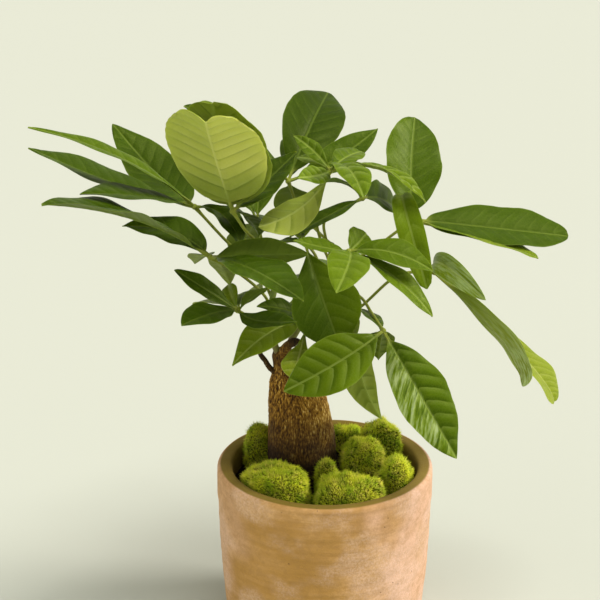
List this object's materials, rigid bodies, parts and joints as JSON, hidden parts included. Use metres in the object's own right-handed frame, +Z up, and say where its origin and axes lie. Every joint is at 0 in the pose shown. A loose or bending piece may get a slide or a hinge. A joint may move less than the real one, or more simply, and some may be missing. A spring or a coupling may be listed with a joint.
{
  "type": "potted money tree",
  "caption": "potted money tree with a swollen trunk and palmate leaves in a terracotta pot, for standing on a flat surface",
  "frame": {"origin": "centre of the pot's flat base", "axes": "+Z up along the pot's axis, -Y towards the front of the plant, +X to the right seen from the front"},
  "size_m": [0.3541, 0.266, 0.3924],
  "materials": {
    "terracotta": "unglazed, matte",
    "soil": "rough, matte",
    "bark": "rough, fissured",
    "shoot": "satin",
    "leaf": "satin",
    "moss": "fuzzy, matte"
  },
  "bodies": {
    "root": {"pot": "terracotta", "soil": "soil", "trunk": "bark", "stems": "shoot", "leaf_a": "leaf", "leaf_b": "leaf", "leaf_c": "leaf", "leaf_d": "leaf", "leaf_e": "leaf", "leaf_f": "leaf", "leaf_g": "leaf", "leaf_h": "leaf", "leaf_i": "leaf", "leaf_j": "leaf", "leaf_k": "leaf", "leaf_l": "leaf", "leaf_m": "leaf", "leaf_n": "leaf", "leaf_o": "leaf", "moss_1": "moss", "moss_2": "moss", "moss_3": "moss", "moss_4": "moss", "moss_5": "moss", "moss_6": "moss", "moss_7": "moss", "moss_8": "moss"}
  },
  "joints": []
}
